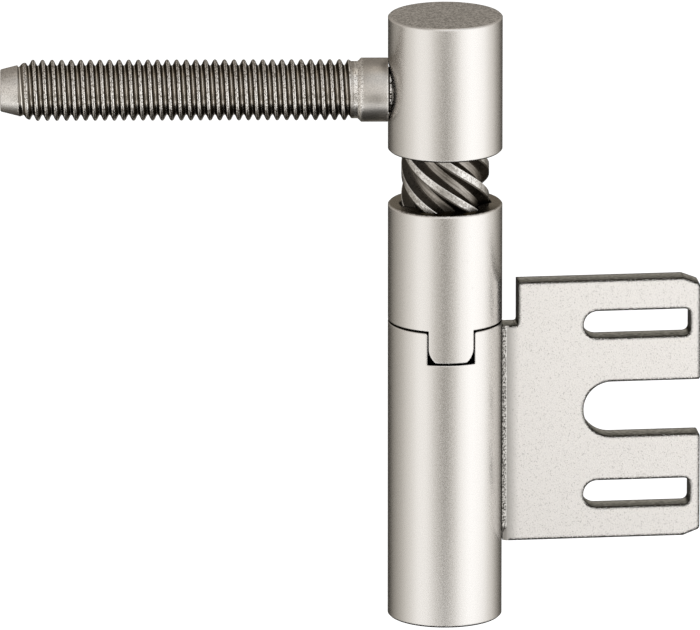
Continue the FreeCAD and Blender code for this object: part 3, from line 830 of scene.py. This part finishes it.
@dataclass
class DrillInStud:
    """The stud that is screwed into the door's edge: spigot, collar, rolled right-hand thread and cone tip.

    Places along the stud are distances from the hinge axis.
    """

    direction: Vector
    height: float
    spigot_start: float = -2.5
    spigot_r: float = 3.0
    collar_start: float = 7.44
    collar_end: float = 11.0
    collar_r: float = 4.2
    collar_corner: float = 0.15
    corner_bend: float = 0.3
    shoulder_bend: float = 0.03
    neck_start: float = 11.45
    neck_r: float = 3.75
    thread_start: float = 12.1
    run_out: float = 0.7
    crest_r: float = 4.0
    thread_depth: float = 0.78
    pitch: float = 1.25
    crest_station: float = 31.27
    lead_in: float = 53.9
    lead_in_depth: float = 0.3
    tip_start: float = 55.9
    tip_r: float = 3.3
    tip_fade: float = 0.2
    end: float = 58.1
    end_r: float = 2.75
    end_corner: float = 0.12
    end_bulge: float = 0.2
    seam_depth: float = 0.05
    seam_length: float = 0.6
    seam_finer: float = 3.1
    seam_bias: float = 0.55
    flank: Pairs = (
        (0.04, 0.0), (0.08, 0.025), (0.13, 0.08), (0.19, 0.2), (0.26, 0.42), (0.32, 0.63),
        (0.38, 0.82), (0.43, 0.93), (0.465, 0.985),
    )
    segments: int = 84
    join_within: float = 1e-4
    slack: float = 0.01
    finish: RolledSteel = RolledSteel()

    def thread_outline(self) -> list[Span]:
        """Return one pitch of the thread from crest to crest, as shares of the pitch and of the depth."""
        rising = [(1.0 - share, depth) for share, depth in reversed(self.flank)]
        return [(0.0, 0.0), *self.flank, (0.5, 1.0), *rising]

    def point(self, along: float, radius: float, angle: float) -> Vector:
        """Return a point of the stud in metres, from its place along it, radius and turn about it."""
        side = self.direction.cross(UP)
        spoke = UP * math.cos(angle) + side * math.sin(angle)
        return (self.direction * along + spoke * radius + UP * self.height) * MM

    def begun(self, along: float) -> float:
        """Return how far the thread has come out of the neck, from 0 to 1."""
        return smooth_step(self.thread_start, self.thread_start + self.run_out, along)

    def ended(self, along: float) -> float:
        """Return how far the thread has passed into the tip, from 0 to 1."""
        return smooth_step(self.tip_start - self.tip_fade, self.tip_start, along)

    def thread_radius(self, along: float, depth: float) -> float:
        """Return the thread's radius where its outline has a depth, with its run-out and lead-in."""
        radius = between(self.neck_r, self.crest_r - depth, self.begun(along))
        worn = (along - self.lead_in) / (self.tip_start - self.lead_in)
        limit = between(self.crest_r, self.tip_r, min(1.0, max(0.0, worn)))
        limit -= self.lead_in_depth * depth / self.thread_depth
        return between(min(radius, limit), self.tip_r, self.ended(along))

    def seam(self, along: float, angle: float) -> float:
        """Return the depth of the ragged seam that rolling leaves along a crest."""
        place = self.point(along, self.crest_r, angle) / (self.seam_length * MM)
        return self.seam_depth * (self.seam_bias + rough_noise(place, self.seam_finer))

    def build_thread(self, shape: bmesh.types.BMesh) -> None:
        """Add the thread to a mesh, with its edges running along the crests and roots."""
        outline = self.thread_outline()
        columns = len(outline)
        first_turn = math.floor((self.thread_start - self.crest_station) / self.pitch) - 2
        last_turn = math.ceil((self.tip_start - self.crest_station) / self.pitch) + 1
        rows = []
        for turn in range(first_turn, last_turn + 1):
            for share, depth in outline:
                row = []
                for step in range(self.segments):
                    wound = step / self.segments
                    angle = math.tau * wound
                    free = self.crest_station + self.pitch * (turn + share + wound)
                    along = min(self.tip_start, max(self.thread_start, free))
                    deep = depth * self.thread_depth if share else max(0.0, self.seam(along, angle))
                    row.append(shape.verts.new(self.point(along, self.thread_radius(along, deep), angle)))
                rows.append(row)
        for index in range(len(rows) - columns - 1):
            near, far = rows[index], rows[index + 1]
            for step in range(self.segments - 1):
                shape.faces.new((near[step], near[step + 1], far[step + 1], far[step]))
            next_near, next_far = rows[index + columns], rows[index + columns + 1]
            shape.faces.new((near[-1], next_near[0], next_far[0], far[-1]))
        for row in rows[-columns:]:
            for vertex in row[1:]:
                if not vertex.link_faces:
                    shape.verts.remove(vertex)

    def build_turned(self, shape: bmesh.types.BMesh, outline: Sequence[Span]) -> None:
        """Add a turned stretch to a mesh, from (place, radius) pairs, closed where the radius is 0."""
        rings = []
        for along, radius in outline:
            count = self.segments if radius else 1
            angles = (math.tau * step / self.segments for step in range(count))
            rings.append([shape.verts.new(self.point(along, radius, angle)) for angle in angles])
        join_rings(shape, rings, self.segments)

    def build(self) -> Piece:
        """Build the whole stud in its solid's place."""
        corner = self.collar_corner
        bend = self.corner_bend * corner
        shape = bmesh.new()
        self.build_turned(shape, [
            (self.spigot_start, 0.0),
            (self.spigot_start, self.spigot_r),
            (self.collar_start, self.spigot_r),
            (self.collar_start, self.collar_r - corner),
            (self.collar_start + bend, self.collar_r - bend),
            (self.collar_start + corner, self.collar_r),
            (self.collar_end - self.shoulder_bend, self.collar_r),
            (self.collar_end + self.shoulder_bend, self.collar_r - self.shoulder_bend),
            (self.neck_start, self.neck_r),
            (self.thread_start, self.neck_r),
        ])
        self.build_thread(shape)
        self.build_turned(shape, [
            (self.tip_start, self.tip_r),
            (self.end - self.end_corner, self.end_r + self.end_bulge * self.end_corner),
            (self.end, self.end_r - self.end_corner),
            (self.end, 0.0),
        ])
        bmesh.ops.remove_doubles(shape, verts=shape.verts, dist=self.join_within * MM)
        stud = new_piece("drill_in_stud_threaded", shape, sharp_from=32.0)
        self.mark_thread(stud)
        stand_in(stud, "drill_in_stud", "door_part")
        return stud

    def mark_thread(self, stud: Piece) -> None:
        """Write the numbers that the finish reads at each point of the mesh."""
        for name in self.finish.names:
            stud.data.attributes.new(name, "FLOAT", "POINT")
        offsets, shares, places = (stud.data.attributes[name].data for name in self.finish.names)
        side = self.direction.cross(UP)
        for index, vertex in enumerate(stud.data.vertices):
            place = vertex.co / MM - UP * self.height
            along = place.dot(self.direction)
            wound = math.atan2(place.dot(side), place.dot(UP)) / math.tau
            turns = (along - self.crest_station) / self.pitch - wound
            offsets[index].value = abs(turns - round(turns))
            places[index].value = along
            before_collar = along < self.collar_start + self.slack
            slim = place.cross(self.direction).length < self.spigot_r + self.slack
            in_thread = self.begun(along) * (1.0 - self.ended(along))
            shares[index].value = -1.0 if before_collar and slim else in_thread

    def dress(self, stud: Piece) -> None:
        """Give the stud its dull steel."""
        dress(stud, self.finish)


@dataclass
class Studio:
    """White floor and surround, light tent, lamp and the photograph's camera.

    A ring is a band of the tent's cloth, as directions in degrees to the right of the camera with their
    brightness. It starts where the Z of a direction from the tent's middle lies in the given pair.
    """

    azimuth: float = -6.5
    elevation: float = 15.02
    distance: float = 2400.0
    focal_px: float = 18320.8
    aim_right: float = -12.44
    aim_height: float = 40.51
    clip_end: float = 100000.0
    floor_level: float = -60.0
    floor_half: float = 6000.0
    floor_colour: Rgb = (0.86, 0.86, 0.86)
    floor_glow: float = 0.5
    tent_r: float = 300.0
    tent_gap: float = 2.0
    tent_strength: float = 2.0
    lamp_place: Triple = (-500.0, -700.0, 900.0)
    lamp_size: float = 600.0
    lamp_watts: float = 6.0
    ambient: float = 0.6
    low_tint: Rgb = (1.0, 0.925, 0.8)
    high_tint: Rgb = (1.0, 0.88, 0.74)
    nadir: Rgb = (0.02, 0.018, 0.015)
    apron_start: Span = (-0.83, -0.58)
    apron_ring: Pairs = (
        (-180, 0.6), (-160, 0.1), (-130, 0.2), (-95, 0.6), (-45, 1.45), (0, 1.5), (45, 1.5), (95, 0.7),
        (130, 0.25), (160, 0.1), (180, 0.6),
    )
    low_start: Span = (-0.58, -0.45)
    low_ring: Pairs = (
        (-180, 1.4), (-172, 0.9), (-162, 0.1), (-150, 0.06), (-138, 0.2), (-122, 0.38), (-104, 0.51),
        (-75, 0.84), (-52, 1.14), (-35, 1.08), (-16, 0.6), (0, 0.28), (16, 0.62), (32, 1.17), (52, 1.38),
        (78, 1.3), (104, 0.87), (127, 0.46), (143, 0.26), (155, 0.09), (163, 0.1), (172, 0.9), (180, 1.4),
    )
    high_start: Span = (-0.1, 0.14)
    high_ring: Pairs = (
        (-180, 0.67), (-130, 0.5), (-95, 0.65), (-45, 0.9), (0, 1.0), (45, 1.3), (95, 0.85), (130, 0.5),
        (180, 0.67),
    )
    roof_start: Span = (0.5, 0.72)
    roof_ring: Pairs = (
        (-180, 0.36), (-130, 0.35), (-95, 0.4), (-45, 0.6), (0, 0.95), (45, 0.95), (95, 0.7), (130, 0.42),
        (180, 0.36),
    )
    zenith_start: Span = (0.94, 1.0)
    zenith: Rgb = (0.8, 0.74, 0.66)

    def build_camera(self) -> None:
        """Set up the camera at the photograph's angle."""
        turn = math.radians(self.azimuth)
        tilt = math.radians(self.elevation)
        level = Vector((-math.sin(turn), math.cos(turn), 0.0))
        right = Vector((level.y, -level.x, 0.0))
        forward = level * math.cos(tilt) - UP * math.sin(tilt)
        aim = right * self.aim_right + UP * self.aim_height
        data = bpy.data.cameras.new("photo_camera")
        data.sensor_width = SENSOR_WIDTH
        data.lens = self.focal_px / IMAGE_WIDTH_PX * SENSOR_WIDTH
        data.clip_end = self.clip_end * MM
        camera = bpy.data.objects.new("photo_camera", data)
        camera.location = (aim - forward * self.distance) * MM
        camera.rotation_euler = forward.to_track_quat("-Z", "Y").to_euler()
        bpy.context.scene.collection.objects.link(camera)
        bpy.context.scene.camera = camera

    def seen_directly(self, tree: ShaderTree) -> Socket:
        """Return 1 for rays from the camera, from mirrors and through glass, and 0 for the others."""
        path = tree.node("ShaderNodeLightPath").outputs
        seen = tree.math("MAXIMUM", path["Is Camera Ray"], path["Is Glossy Ray"])
        return tree.math("MAXIMUM", seen, path["Is Transmission Ray"])

    def build_world(self) -> None:
        """Surround the hinge with white that is seen at full strength and lights at a plain level."""
        world = bpy.data.worlds.new("surround")
        world.use_nodes = True
        tree = ShaderTree(world.node_tree)
        white = tree.node("ShaderNodeBackground", {"Color": WHITE, "Strength": 1.0}).outputs[0]
        light = tree.node("ShaderNodeBackground", {"Color": WHITE, "Strength": self.ambient}).outputs[0]
        mix = tree.node("ShaderNodeMixShader", {0: self.seen_directly(tree), 1: light, 2: white})
        tree.node("ShaderNodeOutputWorld", {"Surface": mix.outputs[0]})
        bpy.context.scene.world = world

    def build_floor(self) -> None:
        """Lay the white floor, which keeps the hinge's shadow."""
        shape = bmesh.new()
        bmesh.ops.create_grid(shape, x_segments=2, y_segments=2, size=self.floor_half * MM)
        floor = new_piece("floor", shape, sharp_from=30.0)
        floor.location.z = self.floor_level * MM
        material, tree = new_material("white_floor")
        card = tree.node("ShaderNodeBsdfDiffuse", {"Color": opaque(self.floor_colour)})
        strength = tree.product(self.seen_directly(tree), self.floor_glow)
        glow = tree.node("ShaderNodeEmission", {"Strength": strength})
        both = tree.node("ShaderNodeAddShader", {0: card.outputs[0], 1: glow.outputs[0]})
        tree.node("ShaderNodeOutputMaterial", {"Surface": both.outputs[0]})
        floor.data.materials.append(material)

    def ring(self, tree: ShaderTree, turn: Feed, panels: Pairs, tint: Rgb) -> Socket:
        """Return the colour of a ring in a direction, with its darker stretches tinted."""
        brightest = max(level for _, level in panels)
        stops = []
        for direction, level in panels:
            tinted = tuple(between(part, 1.0, level / brightest) for part in tint)
            stops.append((direction / 360.0 + 0.5, shade(tinted, level / self.tent_strength)))
        return tree.ramp(turn, stops)

    def build_tent(self) -> None:
        """Stand a tent of bright and dark cloth round the hinge, which only shows in its reflections."""
        shape = bmesh.new()
        bmesh.ops.create_uvsphere(shape, u_segments=96, v_segments=48, radius=self.tent_r * MM)
        lowest = (self.floor_level + self.tent_gap - self.aim_height) * MM
        for vertex in shape.verts:
            vertex.co.z = max(vertex.co.z, lowest)
        tent = new_piece("light_tent", shape, sharp_from=60.0)
        tent.location.z = self.aim_height * MM
        tent.rotation_euler.z = math.radians(self.azimuth)
        for ray in ("camera", "diffuse", "transmission", "shadow", "volume_scatter"):
            setattr(tent, f"visible_{ray}", False)
        material, tree = new_material("tent_cloth")
        look = tree.vector("NORMALIZE", tree.place())
        across = tree.math("ARCTAN2", tree.axis(look, "X"), tree.product(tree.axis(look, "Y"), -1.0))
        turn = tree.math("ADD", tree.math("DIVIDE", across, math.tau), 0.5)
        rise = tree.axis(look, "Z")
        apron = self.ring(tree, turn, self.apron_ring, self.low_tint)
        low = self.ring(tree, turn, self.low_ring, self.low_tint)
        high = self.ring(tree, turn, self.high_ring, self.high_tint)
        roof = self.ring(tree, turn, self.roof_ring, self.high_tint)
        zenith = shade(self.zenith, 1.0 / self.tent_strength)
        nadir = shade(self.nadir, 1.0 / self.tent_strength)
        wall = tree.mix(tree.span(rise, *self.low_start), apron, low)
        cloth = tree.mix(tree.span(rise, *self.high_start), wall, high)
        cover = tree.mix(tree.span(rise, *self.zenith_start), roof, zenith)
        upper = tree.mix(tree.span(rise, *self.roof_start), cloth, cover)
        lit = tree.mix(tree.span(rise, *self.apron_start), nadir, upper)
        glow = tree.node("ShaderNodeEmission", {"Color": lit, "Strength": self.tent_strength})
        tree.node("ShaderNodeOutputMaterial", {"Surface": glow.outputs[0]})
        tent.data.materials.append(material)

    def build_lamp(self) -> None:
        """Hang one soft lamp above and to the left of the camera, for the floor and the plastic."""
        data = bpy.data.lights.new("soft_lamp", "AREA")
        data.size = self.lamp_size * MM
        data.energy = self.lamp_watts
        lamp = bpy.data.objects.new("soft_lamp", data)
        lamp.location = Vector(self.lamp_place) * MM
        aim = UP * self.aim_height * MM - lamp.location
        lamp.rotation_euler = aim.to_track_quat("-Z", "Y").to_euler()
        lamp.visible_glossy = False
        lamp.visible_camera = False
        bpy.context.scene.collection.objects.link(lamp)

    def build(self) -> None:
        """Set up everything that isn't the hinge."""
        bpy.context.scene.view_settings.view_transform = "Standard"
        self.build_world()
        self.build_floor()
        self.build_tent()
        self.build_lamp()
        self.build_camera()
        LOG.info("studio: floor, tent, lamp and camera")


def main() -> None:
    """Load the frame, build and dress each sub-assembly, and set up the studio."""
    logging.basicConfig(level=logging.INFO, format="%(name)s: %(message)s")
    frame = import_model()
    bpy.context.view_layer.update()
    nodes = frame["nodes"]
    TurnedKnuckles(nodes).dress()
    LiftingGear(nodes).dress()
    plate = FramePlate(nodes, face=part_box("frame_plate")[1].y / MM)
    plate.dress(plate.build())
    mount = next(mount for mount in frame["record"]["mounts"] if mount["name"] == "door_stud")
    stud = DrillInStud(direction=Vector(mount["axis"]), height=mount["pos_m"][2] / MM)
    stud.dress(stud.build())
    Studio().build()


if __name__ == "__main__":
    main()
